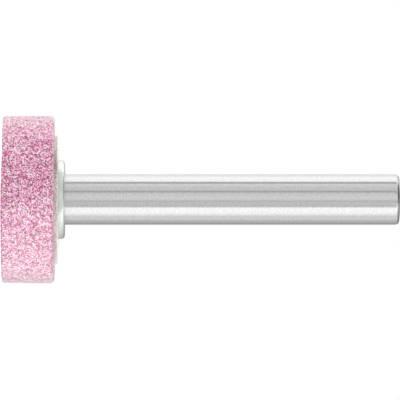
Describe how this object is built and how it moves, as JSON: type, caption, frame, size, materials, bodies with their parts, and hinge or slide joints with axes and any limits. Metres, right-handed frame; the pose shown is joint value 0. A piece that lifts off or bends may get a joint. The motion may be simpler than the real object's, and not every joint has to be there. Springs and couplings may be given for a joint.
{
  "type": "cylindrical mounted point",
  "caption": "Short wide cylinder of pink bonded abrasive on a straight round steel shank, with a card washer and a steel collar behind it.",
  "frame": {"origin": "centre of the wheel's front face, the face that the tool stands on", "axes": "+Z along the axis of rotation, from the wheel's front face to the shank's free end; X and Y are free, because the tool is round"},
  "size_m": [0.02, 0.02, 0.0476],
  "materials": {
    "abrasive": "matte",
    "card": "matte",
    "turned_steel": "satin",
    "ground_steel": "satin",
    "cement": "matte"
  },
  "bodies": {
    "root": {"abrasive_wheel": "abrasive", "card_washer": "card", "steel_collar": "turned_steel", "shank": "ground_steel", "cement": "cement"}
  },
  "joints": []
}
